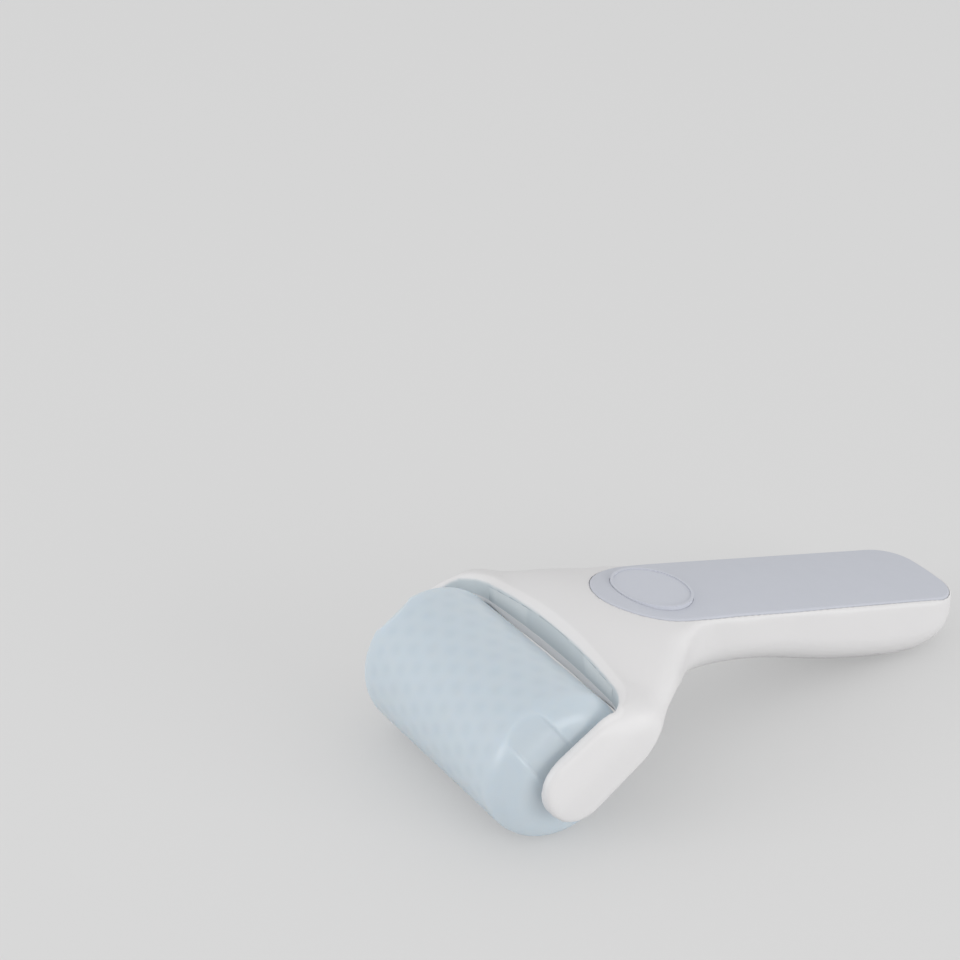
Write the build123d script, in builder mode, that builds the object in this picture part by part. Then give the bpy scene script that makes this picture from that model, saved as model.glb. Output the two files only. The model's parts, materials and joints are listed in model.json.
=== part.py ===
"""Cooling face roller: a gel-filled drum turning in a forked handle.

Millimetres. +X runs from the drum to the handle's tail, +Y along the axle and +Z up.
The origin is under the middle of the roller, on the surface that it rests on.
Distances named *_x are measured from the axle along X, and heights from that surface.
"""
from build123d import *
import math
import os

os.makedirs("parts", exist_ok=True)

# ---------------------------------------------------------------- driving dimensions
drum_radius = 23.0
drum_length = 80.0
handle_reach = 172.0            # axle to the tip of the tail

end_gap = 1.7                   # drum end to arm, each side
arm_thickness = 6.0
arm_edge_round = 3.2
arm_tip_radius = 10.8
arm_tip_drop = 0.5              # the rounded tip hangs this far below the axle
arm_bend_radius = 10.2
arm_bend_x = 15.3
arm_bend_rise = 9.7             # height of the arm's bend above the axle
arm_root_radius = 6.8
arm_root_inset = 0.1            # the arm's root stands this far behind the window's wall
arm_root_rise = 12.9

window_inset = 1.5              # the bridge's inner wall stands this far inside the drum's radius
window_bow = 2.9                # how far that wall is bowed at its middle
window_corner = 7.5             # reach of the window's rounded corners in front of the wall
front_overhang = 6.5            # reach of the bridge's shoulders in front of the wall
rim_drop = 0.2                  # the rim of the inner wall lies this far under the drum's top
rim_slope = 0.3
drum_clearance = 0.8

panel_drop = 0.2                # from the rim down to the panel's line where it is at full width
panel_full_x = 60.0
tail_height = 18.92             # height of the panel's line at the tail
roll_start_x = 44.0             # the top rolls down to the rim in front of this
swell = 0.7                     # extra height of the middle line where the panel is widest
swell_start_x = 40.0
handle_half = 19.3
flare_offset = 1.5              # the bridge starts to narrow this far behind the wall
flare_length = 41.0
waist_x = 94.0
waist_reach = 34.0
waist_depth = 0.6
tail_length = 20.0              # length of the tail's rounding
tail_bend = 14.0                # the belly turns up to the tail from here
tail_power = 2.8
tail_blunt = 0.4                # how far past the tail its side curve would close

shell_wall = 2.0
panel_thickness = 2.2
panel_proud = 0.35
panel_half = 17.9
panel_front_length = 23.0       # length of the panel's elliptical front
panel_tail_margin = 1.5
panel_tail_radius = 11.0
panel_tail_bow = 0.8
panel_edge_round = 0.8
panel_gap = 0.12
ledge_width = 2.2
ledge_thickness = 2.2
adhesive_thickness = 0.3
adhesive_margin = 1.0
bond_gap = 0.03                 # between the adhesive's faces and what they hold
carrier_thickness = 1.8
badge_radius = 13.0
badge_x = 57.0
badge_tilt = 10.4               # degrees, flatter than the panel, so that its front edge sits in a dip
badge_proud = 0.45
badge_thickness = 1.25
badge_rim_width = 1.0
badge_rim_proud = 0.3
badge_dip = 2.4                 # width of the sloping dip round the badge
badge_dip_rise = 0.7

screw_front_x = 56.0
screw_tail_margin = 30.0
screw_radius = 1.25
screw_head_radius = 2.4
screw_head_height = 1.3
screw_length = 9.0
screw_pilot_radius = 1.3
screw_gap = 0.1
countersink_rise = 0.5          # how far the countersink's cone runs past the carrier's top
boss_radius = 3.4

liner_half = 33.0
liner_drum_gap = 2.36
liner_cover = 1.6               # the shell above the liner
liner_thickness = 1.6
liner_ledge = 1.2
liner_gap = 0.1
cavity_front_half = 33.0
cavity_round = 0.6
cavity_taper = 0.34

cover_thickness = 1.4
cover_margin = 1.0
cover_gap = 0.1
pocket_margin = 1.8
cover_share = 0.48              # how far the arm cover reaches from the axle to the arm's bend
cover_end_margin = 1.4

pivot_radius = 2.5
pivot_flange_radius = 6.2
pivot_flange_thickness = 1.2
pivot_shoulder_radius = 4.2
pivot_engagement = 4.5
pivot_chamfer = 1.0
pivot_hole_gap = 0.3
washer_radius = 4.8
washer_thickness = 1.2

sleeve_wall = 2.2
end_round = 8.0
cap_wall = 3.0
spigot_length = 5.0
spigot_wall = 3.0
spigot_gap = 0.2
seal_section = 0.7
seal_squeeze_gap = 0.05
groove_gap = 0.25
cap_step = 1.0                  # the cap's inner cone starts this far outside the sleeve's end
channel_half = 6.8              # half the width of the lead-in channel across a drum end
channel_turn = -35.0            # degrees about the axle from upright to the channel
channel_start = 0.3             # from the sleeve's end to the channel's mouth
channel_depth = 0.5
channel_inner_radius = 14.0     # where the channel's sweep over the drum's shoulder ends
channel_sweep = 11.9            # radius of that sweep
hub_radius = 7.0
hub_length = 8.0
hub_floor = 2.3
bush_wall = 1.5
bush_gap = 0.05
bush_flange_radius = 5.6
bush_flange_thickness = 0.8
bush_flange_proud = 0.2
gel_gap = 0.3

plug_offset = 11.0
plug_radius = 2.4
plug_head_radius = 3.8
plug_head_height = 1.1
plug_gap = 0.1
plug_seal_thickness = 0.5

# ---------------------------------------------------------------- derived sizes and planes
overall_length = drum_radius + handle_reach
axle_x = drum_radius - overall_length / 2
arm_inner = drum_length / 2 + end_gap
yoke_half = arm_inner + arm_thickness
sleeve_half = drum_length / 2 - end_round
face_radius = drum_radius - end_round
window_x = drum_radius - window_inset
window_corner_x = window_x - window_corner
front_x = window_x - front_overhang
arm_root_x = window_x + arm_root_inset
flare_start_x = window_x + flare_offset
tail_start_x = handle_reach - tail_length
rim_height = 2 * drum_radius - rim_drop
panel_height = rim_height - panel_drop
slope = (panel_height - tail_height) / (handle_reach - panel_full_x)
screw_rear_x = handle_reach - screw_tail_margin
screw_x = (screw_front_x, (screw_front_x + screw_rear_x) / 2, screw_rear_x)

side = Plane(origin=(axle_x, 0, 0), x_dir=(1, 0, 0), z_dir=(0, -1, 0))
plan = Plane(origin=(axle_x, 0, 0))
radial = Plane(origin=(axle_x, 0, drum_radius), x_dir=(0, 1, 0), z_dir=(1, 0, 0))
drum_axis = Axis((axle_x, 0, drum_radius), (0, 1, 0))
tall = 200.0                    # taller than anything here
overcut = 1.0                   # how far a cutter runs past the surface that it opens


def smooth(share):
    """S-shaped step from 0 to 1."""
    share = min(max(share, 0.0), 1.0)
    return share * share * (3 - 2 * share)


def half_width(x):
    """Half the width of the bridge, neck and handle at a distance behind the axle."""
    half = yoke_half + (handle_half - yoke_half) * smooth((x - flare_start_x) / flare_length)
    from_waist = abs(x - waist_x) / waist_reach
    if from_waist < 1:
        half -= waist_depth * (1 - from_waist**2) ** 2
    into_tail = (x - tail_start_x) / (tail_length + tail_blunt)
    if into_tail > 0:
        half *= (1 - into_tail**tail_power) ** (1 / tail_power)
    return half


def top_height(x):
    """Height of the top surface on the middle line."""
    if x < window_x:
        return rim_height - rim_slope * (window_x - x)
    line = panel_height - slope * (x - panel_full_x)
    if x < roll_start_x:
        fall = panel_height - slope * (window_x - panel_full_x) - rim_height
        line -= fall * ((roll_start_x - x) / (roll_start_x - window_x)) ** 2
    swelling = smooth((x - swell_start_x) / (panel_full_x - swell_start_x))
    fading = min(1.0, (handle_reach - x) / (handle_reach - panel_full_x))
    return line + swell * swelling * fading


def along_belly(share):
    """Place on the way from the waist to where the belly turns up to the tail."""
    return waist_x + share * (handle_reach - tail_bend - waist_x)


# distance behind the axle, depth, top rounding, underside rounding, belly, fall at the sides
stations = [
    (front_x, 9, 3.6, 1.2, -0.4, 2.54),
    (window_x, 11.4, 3.6, 1.2, -0.4, 5),
    (window_x + 6.5, 12.29, 3.2, 1.4, -3, 10.54),
    (window_x + 14.5, 15.98, 3.2, 2, -2.4, 11.27),
    (window_x + 23.5, 18.88, 5, 4, -0.6, 7.04),
    (window_x + 32.5, 21.98, 4, 8, 1, 3.37),
    (panel_full_x + 3, 23.16, 1.9, 10.5, 1.2, 1.97),
    (panel_full_x + 16, 21.79, 1.3, 11, 1.2, 1.64),
    (waist_x, 22.19, 1.3, 11.5, 1.2, 1.47),
    (along_belly(0.3), 24.15, 1.3, 12, 1.2, 1.38),
    (along_belly(0.6), 24.88, 1.3, 12, 1.2, 1.27),
    (along_belly(0.85), 24.37, 1.3, 12, 1.2, 1.15),
    (along_belly(1), 21.85, 1.3, 11.5, 1.2, 1.06),
    (handle_reach - 7.5, 17.96, 1.3, 9.5, 1, 0.84),
    (handle_reach - 3.5, 14.17, 1.3, 7, 0.8, 0.55),
    (handle_reach - 1.2, 10.42, 1.2, 5, 0.6, 0.32),
    (handle_reach, 6.92, 1, 2.4, 0.4, 0.12),
]
hollow_stations = stations[2:-3]


def station_plane(x):
    """Plane across the handle at a distance behind the axle."""
    return Plane(origin=(axle_x + x, 0, 0), x_dir=(0, 1, 0), z_dir=(1, 0, 0))


def section(x, half, top, depth, fall, belly, top_round, low_round):
    """One cross-section: a crowned top, upright sides and a slightly rounded underside."""
    low = top - depth
    shoulder = top - fall
    with BuildSketch(station_plane(x)) as outline:
        with BuildLine():
            ThreePointArc((-half, shoulder), (0, top), (half, shoulder))
            Line((half, shoulder), (half, low + belly))
            ThreePointArc((half, low + belly), (0, low), (-half, low + belly))
            Line((-half, low + belly), (-half, shoulder))
        make_face()
        fillet(outline.vertices().group_by(Axis.Y)[0], low_round)
        fillet(outline.vertices().group_by(Axis.Y)[-1], top_round)
    return outline.sketch


def grip_form():
    """Outer form of the bridge, neck and handle."""
    sections = [
        section(x, half_width(x), top_height(x), depth, fall, belly, top_round, low_round)
        for x, depth, top_round, low_round, belly, fall in stations
    ]
    with BuildPart() as form:
        loft(sections)
    return form.part


def cavity_form():
    """Hollow inside the bridge, neck and handle."""
    sections = []
    for x, depth, top_round, low_round, belly, fall in hollow_stations:
        taper_half = cavity_front_half - cavity_taper * (x - window_x)
        half = min(half_width(x), max(taper_half, handle_half)) - shell_wall
        roof = panel_thickness + ledge_thickness
        low_round = max(low_round - shell_wall, cavity_round)
        share = (half / half_width(x)) ** 2
        sections.append(
            section(x, half, top_height(x) - roof, depth - roof - shell_wall, fall * share,
                    belly * share, cavity_round, low_round)
        )
    with BuildPart() as form:
        loft(sections)
    return form.part


def panel_outline(margin):
    """Plan of the grip panel, drawn in by a margin."""
    tail_end = handle_reach - panel_tail_margin - margin
    half = panel_half - margin
    with BuildSketch(plan) as outline:
        with Locations((panel_full_x, 0)):
            Ellipse(panel_front_length - margin, half)
        with BuildLine():
            Polyline((tail_end - panel_tail_bow, half), (panel_full_x, half), (panel_full_x, -half),
                     (tail_end - panel_tail_bow, -half))
            ThreePointArc((tail_end - panel_tail_bow, half), (tail_end, 0),
                          (tail_end - panel_tail_bow, -half))
        make_face()
        fillet(outline.vertices().group_by(Axis.X)[-1], panel_tail_radius - margin)
    return outline.sketch


def arm_outline():
    """Side outline of an arm: a hull of circles at its tip, bend and root."""
    with BuildSketch(side) as outline:
        with Locations((0, drum_radius - arm_tip_drop)):
            Circle(arm_tip_radius)
        with Locations((arm_bend_x, drum_radius + arm_bend_rise)):
            Circle(arm_bend_radius)
        with Locations((arm_root_x, drum_radius + arm_root_rise)):
            Circle(arm_root_radius)
        make_hull()
    return outline.sketch


def pocket_outline(margin):
    """Side outline inside an arm, drawn in by a margin and stopping short of the bridge."""
    with BuildSketch(side) as outline:
        with Locations((0, drum_radius - arm_tip_drop)):
            Circle(arm_tip_radius - margin)
        with Locations((arm_bend_x * cover_share, drum_radius + arm_bend_rise * cover_share)):
            Circle(arm_bend_radius - cover_end_margin - margin)
        make_hull()
    return outline.sketch


grip = grip_form()


def lowered(drop):
    """The handle's outer form, moved down so that its top is a layer's surface."""
    return grip.moved(Location((0, 0, -drop)))


def layer(outline, upper_drop, lower_drop):
    """Slab of an outline between two depths below the top surface."""
    with BuildPart() as slab:
        add(outline)
        extrude(amount=tall)
        add(lowered(upper_drop), mode=Mode.INTERSECT)
        add(lowered(lower_drop), mode=Mode.SUBTRACT)
    return slab.part


def above(outline, drop):
    """Everything over an outline that lies above the top surface lowered by a drop."""
    with BuildPart() as block:
        add(outline)
        extrude(amount=tall)
        add(lowered(drop), mode=Mode.SUBTRACT)
    return block.part


def arm_slab(outline, hand, near, far):
    """Outline on one side of the roller, between two distances from the middle plane."""
    start = side.offset(-hand * near)
    with BuildPart() as slab:
        with BuildSketch(start):
            add(side.to_local_coords(outline))
        extrude(amount=-hand * (far - near))
    return slab.part


def turned(points, hand=1):
    """Solid of revolution about the axle, from (distance along the axle, radius) points."""
    with BuildPart() as solid:
        with BuildSketch(radial):
            with BuildLine():
                Polyline([(hand * along, radius) for along, radius in points], close=True)
            make_face()
        revolve(axis=drum_axis)
    return solid.part


def keep(builder, name):
    """Name a finished piece and write it."""
    builder.part.label = name
    export_step(builder.part, f"parts/{name}.step")


# ---------------------------------------------------------------- yoke shell
carrier_top = panel_thickness + adhesive_thickness
carrier_low = carrier_top + carrier_thickness
hands = {"left": -1, "right": 1}


def window_wall(offset):
    """Point where the bridge's inner wall, moved back by an offset, stands at the liner's edge."""
    return window_x + offset - window_bow * (liner_half / arm_inner) ** 2


def window_block():
    """The space that the drum sits in, right through the yoke from above."""
    with BuildPart() as block:
        with BuildSketch(plan):
            with BuildLine():
                shoulder = window_wall(0)
                wall = ThreePointArc((shoulder, -liner_half), (window_x, 0), (shoulder, liner_half))
                near_corner = TangentArc(wall @ 1, (window_corner_x, arm_inner), tangent=wall % 1)
                Polyline(near_corner @ 1, (-overall_length, arm_inner),
                         (-overall_length, -arm_inner), (window_corner_x, -arm_inner))
                TangentArc(wall @ 0, (window_corner_x, -arm_inner), tangent=wall % 0 * -1)
            make_face()
        extrude(amount=tall)
    return block.part


def arm(hand):
    """One arm with its outer edges rounded."""
    with BuildPart() as strap:
        add(arm_slab(arm_outline(), hand, arm_inner, yoke_half))
        outer_face = strap.faces().sort_by(Axis.Y)[-1 if hand > 0 else 0]
        fillet(outer_face.edges(), arm_edge_round)
    return strap.part


def arm_pocket(hand):
    """Hollow in an arm's inner face, with the wider seat for its cover."""
    with BuildPart() as pocket:
        add(arm_slab(pocket_outline(pocket_margin), hand,
                     arm_inner, yoke_half - shell_wall))
        add(arm_slab(pocket_outline(cover_margin - cover_gap), hand,
                     arm_inner, arm_inner + cover_thickness))
    return pocket.part


def liner_block(half, low, drop, front, back):
    """Slab along the bridge's inner wall, up to a drop below the top surface."""
    with BuildPart() as block:
        with BuildSketch(plan.offset(low)):
            with BuildLine():
                ThreePointArc((window_wall(front), -half), (window_x + front, 0),
                              (window_wall(front), half))
                Line((window_wall(front), half), (window_wall(back), half))
                ThreePointArc((window_wall(back), half), (window_x + back, 0),
                              (window_wall(back), -half))
                Line((window_wall(back), -half), (window_wall(front), -half))
            make_face()
        extrude(amount=tall)
        add(lowered(drop), mode=Mode.INTERSECT)
    return block.part


def drum_space():
    """The drum's outline with the clearance that the bridge leaves round it."""
    round_radius = end_round + drum_clearance
    with BuildPart() as space:
        with BuildSketch(radial):
            with BuildLine():
                far = RadiusArc((sleeve_half, drum_radius + drum_clearance),
                                (drum_length / 2 + drum_clearance, face_radius), round_radius)
                near = RadiusArc((-drum_length / 2 - drum_clearance, face_radius),
                                 (-sleeve_half, drum_radius + drum_clearance), round_radius)
                Line(near @ 1, far @ 0)
                Polyline(far @ 1, (drum_length / 2 + drum_clearance, 0),
                         (-drum_length / 2 - drum_clearance, 0), near @ 0)
            make_face()
        revolve(axis=drum_axis)
    return space.part


def screw_plane(x):
    """Plane on the carrier's top, square to the panel's slope."""
    height = top_height(x) - panel_thickness - adhesive_thickness
    return Plane(origin=(axle_x + x, 0, height), x_dir=(0, 1, 0), z_dir=(slope, 0, 1))


def screw_bosses():
    """Posts from the handle's floor up to the carrier."""
    with BuildPart() as posts:
        for x in screw_x:
            with BuildSketch(screw_plane(x)):
                Circle(boss_radius)
            extrude(amount=-tall / 2)
        add(lowered(carrier_low), mode=Mode.INTERSECT)
        add(grip, mode=Mode.INTERSECT)
    return posts.part


liner_edge_x = window_wall(0)
liner_low = drum_radius + math.sqrt((drum_radius + liner_drum_gap) ** 2 - liner_edge_x**2)

with BuildPart() as yoke_shell:
    add(grip)
    add(window_block(), mode=Mode.SUBTRACT)
    add(drum_space(), mode=Mode.SUBTRACT)
    for hand in hands.values():
        add(arm(hand))
        add(arm_pocket(hand), mode=Mode.SUBTRACT)
    add(cavity_form(), mode=Mode.SUBTRACT)
    add(above(panel_outline(-panel_gap), panel_thickness), mode=Mode.SUBTRACT)
    add(above(panel_outline(ledge_width), panel_thickness + ledge_thickness + cavity_round),
        mode=Mode.SUBTRACT)
    add(liner_block(liner_half + liner_gap, liner_low - liner_gap, liner_cover - liner_gap,
                    -overcut, liner_thickness), mode=Mode.SUBTRACT)
    add(liner_block(liner_half - liner_ledge, liner_low + liner_ledge, liner_cover + liner_ledge,
                    -overcut, hollow_stations[0][0] - window_x + overcut), mode=Mode.SUBTRACT)
    add(screw_bosses())
    for x in screw_x:
        with BuildSketch(screw_plane(x)):
            Circle(screw_pilot_radius)
        extrude(amount=-screw_length - overcut, mode=Mode.SUBTRACT)
keep(yoke_shell, "yoke_shell")

# ---------------------------------------------------------------- bridge liner and arm covers
with BuildPart() as bridge_liner:
    add(liner_block(liner_half, liner_low, liner_cover, 0, liner_thickness))
keep(bridge_liner, "bridge_liner")

for name, hand in hands.items():
    with BuildPart() as arm_cover:
        add(arm_slab(pocket_outline(cover_margin), hand,
                     arm_inner, arm_inner + cover_thickness))
        with BuildSketch(side.offset(-hand * arm_inner)):
            with Locations((0, drum_radius)):
                Circle(pivot_radius + pivot_hole_gap)
        extrude(amount=-hand * cover_thickness, mode=Mode.SUBTRACT)
    keep(arm_cover, f"arm_cover_{name}")

# ---------------------------------------------------------------- grip panel and what is under it
badge_middle = (axle_x + badge_x, 0, top_height(badge_x) + badge_proud)
badge_plane = Plane(origin=badge_middle, x_dir=(0, 1, 0),
                    z_dir=(math.tan(math.radians(badge_tilt)), 0, 1))
countersink_spread = countersink_rise * (screw_head_radius - screw_radius) / screw_head_height


def on_panel_edge(edge):
    """Whether an edge runs round the panel's upper edge."""
    middle = edge @ 0.5
    flat = Vertex(middle.X, middle.Y, 0)
    reach = panel_outline(0).face().outer_wire().distance_to(flat)
    return reach < 0.01 and middle.Z > top_height(middle.X - axle_x) - panel_thickness + panel_proud


with BuildPart() as grip_panel:
    add(layer(panel_outline(0), -panel_proud, panel_thickness))
    upper_edges = grip_panel.edges().filter_by(on_panel_edge)
    fillet(upper_edges, panel_edge_round)
    with Locations(badge_plane.offset(-badge_thickness)):
        Cylinder(badge_radius, badge_thickness + overcut,
                 align=(Align.CENTER, Align.CENTER, Align.MIN), mode=Mode.SUBTRACT)
    with Locations(badge_plane):
        Cone(badge_radius, badge_radius + badge_dip, badge_dip_rise,
             align=(Align.CENTER, Align.CENTER, Align.MIN), mode=Mode.SUBTRACT)
keep(grip_panel, "grip_panel")

with BuildPart() as badge:
    with BuildSketch(badge_plane.offset(-badge_thickness)):
        Circle(badge_radius - panel_gap)
    extrude(amount=badge_thickness + badge_rim_proud)
    with BuildSketch(badge_plane):
        Circle(badge_radius - badge_rim_width)
    extrude(amount=badge_rim_proud, mode=Mode.SUBTRACT)
keep(badge, "badge")

with BuildPart() as panel_adhesive:
    add(layer(panel_outline(ledge_width + adhesive_margin),
              panel_thickness + bond_gap, carrier_top - bond_gap))
    for x in screw_x:
        with BuildSketch(screw_plane(x)):
            Circle(screw_head_radius)
        extrude(amount=panel_thickness, both=True, mode=Mode.SUBTRACT)
keep(panel_adhesive, "panel_adhesive")

with BuildPart() as panel_carrier:
    add(layer(panel_outline(ledge_width + panel_gap), carrier_top, carrier_low))
    for x in screw_x:
        with BuildSketch(screw_plane(x)):
            Circle(screw_radius + screw_gap)
        extrude(amount=2 * carrier_thickness, both=True, mode=Mode.SUBTRACT)
        with Locations(screw_plane(x).offset(countersink_rise)):
            Cone(screw_radius + screw_gap, screw_head_radius + screw_gap + countersink_spread,
                 screw_head_height + countersink_rise,
                 align=(Align.CENTER, Align.CENTER, Align.MAX), mode=Mode.SUBTRACT)
keep(panel_carrier, "panel_carrier")

with BuildPart() as panel_screws:
    for x in screw_x:
        with Locations(screw_plane(x)):
            Cone(screw_radius, screw_head_radius, screw_head_height,
                 align=(Align.CENTER, Align.CENTER, Align.MAX))
            Cylinder(screw_radius, screw_length, align=(Align.CENTER, Align.CENTER, Align.MAX))
keep(panel_screws, "panel_screws")

# ---------------------------------------------------------------- pivots held in the arms
flange_back = yoke_half - shell_wall
cover_back = arm_inner + cover_thickness
pin_tip = drum_length / 2 - pivot_engagement

for name, hand in hands.items():
    with BuildPart() as pivot:
        add(turned([
            (pin_tip, 0),
            (pin_tip, pivot_radius - pivot_chamfer),
            (pin_tip + pivot_chamfer, pivot_radius),
            (cover_back, pivot_radius),
            (cover_back, pivot_shoulder_radius),
            (flange_back - pivot_flange_thickness, pivot_shoulder_radius),
            (flange_back - pivot_flange_thickness, pivot_flange_radius),
            (flange_back, pivot_flange_radius),
            (flange_back, 0),
        ], hand))
    keep(pivot, f"pivot_{name}")

    with BuildPart() as thrust_washer:
        add(turned([
            (arm_inner - washer_thickness, pivot_radius + bush_gap),
            (arm_inner, pivot_radius + bush_gap),
            (arm_inner, washer_radius),
            (arm_inner - washer_thickness, washer_radius),
        ], hand))
    keep(thrust_washer, f"thrust_washer_{name}")

# ---------------------------------------------------------------- drum
drum_end = drum_length / 2
sleeve_bore = drum_radius - sleeve_wall
spigot_radius = sleeve_bore - spigot_gap
spigot_end = sleeve_half - spigot_length
seal_along = sleeve_half - spigot_length / 2
seal_centre = sleeve_bore - seal_squeeze_gap - seal_section
groove_floor = seal_centre - seal_section
groove_half = seal_section + groove_gap
bush_radius = pivot_radius + bush_gap + bush_wall
bush_end = drum_end - hub_length + hub_floor

with BuildPart() as drum_sleeve:
    add(turned([
        (-sleeve_half, sleeve_bore),
        (-sleeve_half, drum_radius),
        (sleeve_half, drum_radius),
        (sleeve_half, sleeve_bore),
    ]))
keep(drum_sleeve, "drum_sleeve")


def channel_cutter(hand):
    """Lead-in channel from the drum's rim to the hub, which the pivot's tip slides along."""
    with BuildPart() as cutter:
        with BuildSketch(radial):
            with BuildLine():
                sweep_over = RadiusArc((hand * (sleeve_half + channel_start), drum_radius),
                                       (hand * (drum_end - channel_depth), channel_inner_radius),
                                       hand * channel_sweep)
                Polyline(
                    sweep_over @ 1,
                    (hand * (drum_end - channel_depth), 0),
                    (hand * (drum_end + overcut), 0),
                    (hand * (drum_end + overcut), drum_radius + overcut),
                    (hand * (sleeve_half + channel_start), drum_radius + overcut),
                    sweep_over @ 0,
                )
            make_face()
        extrude(amount=channel_half, both=True)
    return cutter.part.rotate(drum_axis, channel_turn)


def end_cap(hand):
    """Rounded drum end with a lead-in channel, a spigot for the sleeve and a hub for the bush."""
    with BuildPart() as cap:
        with BuildSketch(radial):
            with BuildLine():
                rounding = RadiusArc((hand * sleeve_half, drum_radius),
                                     (hand * drum_end, face_radius), hand * end_round)
                Polyline(
                    rounding @ 1,
                    (hand * drum_end, 0),
                    (hand * (drum_end - hub_length), 0),
                    (hand * (drum_end - hub_length), hub_radius),
                    (hand * (drum_end - cap_wall), hub_radius),
                    (hand * (drum_end - cap_wall), face_radius),
                    (hand * (sleeve_half + cap_step), spigot_radius - spigot_wall),
                    (hand * spigot_end, spigot_radius - spigot_wall),
                    (hand * spigot_end, spigot_radius),
                    (hand * (seal_along - groove_half), spigot_radius),
                    (hand * (seal_along - groove_half), groove_floor),
                    (hand * (seal_along + groove_half), groove_floor),
                    (hand * (seal_along + groove_half), spigot_radius),
                    (hand * sleeve_half, spigot_radius),
                    rounding @ 0,
                )
            make_face()
        revolve(axis=drum_axis)
        add(channel_cutter(hand), mode=Mode.SUBTRACT)
        add(turned([
            (bush_end, 0),
            (bush_end, bush_radius),
            (drum_end + bush_flange_proud - bush_flange_thickness, bush_radius),
            (drum_end + bush_flange_proud - bush_flange_thickness, bush_flange_radius),
            (drum_end + overcut, bush_flange_radius),
            (drum_end + overcut, 0),
        ], hand), mode=Mode.SUBTRACT)
    return cap.part


def plug_axis_plane(depth):
    """Plane across the filler hole in the right end, at a depth below the drum's end face."""
    return Plane(origin=(axle_x, drum_end - depth, drum_radius - plug_offset),
                 x_dir=(1, 0, 0), z_dir=(0, 1, 0))


seat_depth = plug_head_height + plug_seal_thickness

for name, hand in hands.items():
    with BuildPart() as drum_cap:
        add(end_cap(hand))
        if name == "right":
            with BuildSketch(plug_axis_plane(seat_depth)):
                Circle(plug_head_radius + plug_gap)
            extrude(amount=seat_depth + overcut, mode=Mode.SUBTRACT)
            with BuildSketch(plug_axis_plane(cap_wall + overcut)):
                Circle(plug_radius + plug_gap)
            extrude(amount=cap_wall + 2 * overcut, mode=Mode.SUBTRACT)
    keep(drum_cap, f"drum_cap_{name}")

    with BuildPart() as cap_seal:
        with BuildSketch(radial):
            with Locations((hand * seal_along, seal_centre)):
                Circle(seal_section)
        revolve(axis=drum_axis)
    keep(cap_seal, f"cap_seal_{name}")

    with BuildPart() as bush:
        add(turned([
            (bush_end, pivot_radius + bush_gap),
            (bush_end, bush_radius),
            (drum_end + bush_flange_proud - bush_flange_thickness, bush_radius),
            (drum_end + bush_flange_proud - bush_flange_thickness, bush_flange_radius),
            (drum_end + bush_flange_proud, bush_flange_radius),
            (drum_end + bush_flange_proud, pivot_radius + bush_gap),
        ], hand))
    keep(bush, f"bush_{name}")

with BuildPart() as filler_plug:
    with BuildSketch(plug_axis_plane(plug_head_height)):
        Circle(plug_head_radius)
    extrude(amount=plug_head_height)
    with BuildSketch(plug_axis_plane(cap_wall)):
        Circle(plug_radius)
    extrude(amount=cap_wall - plug_head_height)
keep(filler_plug, "filler_plug")

with BuildPart() as plug_seal:
    with BuildSketch(plug_axis_plane(seat_depth)):
        Circle(plug_head_radius)
        Circle(plug_radius, mode=Mode.SUBTRACT)
    extrude(amount=plug_seal_thickness)
keep(plug_seal, "plug_seal")

with BuildPart() as cooling_gel:
    add(turned([
        (-spigot_end + gel_gap, 0),
        (-spigot_end + gel_gap, sleeve_bore - gel_gap),
        (spigot_end - gel_gap, sleeve_bore - gel_gap),
        (spigot_end - gel_gap, 0),
    ]))
keep(cooling_gel, "cooling_gel")
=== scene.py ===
"""Looks of a cooling face roller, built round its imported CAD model.

Every object is in metres, in the CAD's own frame: +X from the drum to the handle's tail,
+Y along the drum's axle, +Z up from the surface that the roller rests on.
"""
import json
import math

import bmesh
import bpy
from bpy.props import FloatProperty, FloatVectorProperty, IntProperty, PointerProperty
from mathutils import Matrix, Vector


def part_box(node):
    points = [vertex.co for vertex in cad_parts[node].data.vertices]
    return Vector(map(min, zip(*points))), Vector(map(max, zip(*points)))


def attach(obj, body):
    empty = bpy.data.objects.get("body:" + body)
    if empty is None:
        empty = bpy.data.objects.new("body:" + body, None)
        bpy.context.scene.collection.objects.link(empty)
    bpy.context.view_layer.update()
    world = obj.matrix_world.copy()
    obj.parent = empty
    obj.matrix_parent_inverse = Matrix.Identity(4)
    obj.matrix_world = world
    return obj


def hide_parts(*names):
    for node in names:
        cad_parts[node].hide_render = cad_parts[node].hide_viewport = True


bl_info = {
    "name": "Cooling Face Roller",
    "version": (1, 0, 0),
    "blender": (4, 5, 0),
    "location": "View3D > Sidebar > Roller",
    "description": "Dresses the packed face roller: shell, grip panel, drum, fittings and stage",
    "category": "Object",
}

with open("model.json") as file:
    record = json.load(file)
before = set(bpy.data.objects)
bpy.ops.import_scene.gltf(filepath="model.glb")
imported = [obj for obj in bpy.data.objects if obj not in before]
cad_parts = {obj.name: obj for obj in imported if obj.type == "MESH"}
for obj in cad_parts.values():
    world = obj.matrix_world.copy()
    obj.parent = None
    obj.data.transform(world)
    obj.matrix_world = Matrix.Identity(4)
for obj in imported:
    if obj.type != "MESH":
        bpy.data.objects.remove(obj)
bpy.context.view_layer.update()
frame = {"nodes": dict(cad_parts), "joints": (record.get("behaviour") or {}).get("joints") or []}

mm = 0.001
nodes = frame["nodes"]
axle = Vector(frame["joints"][0]["pos_m"])
drum_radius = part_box("drum_sleeve")[1].z - axle.z
sleeve_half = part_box("drum_sleeve")[1].y
drum_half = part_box("drum_cap_right")[1].y
yoke_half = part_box("yoke_shell")[1].y
flange_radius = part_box("bush_right")[1].z - axle.z
plug_low, plug_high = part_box("filler_plug")

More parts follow.
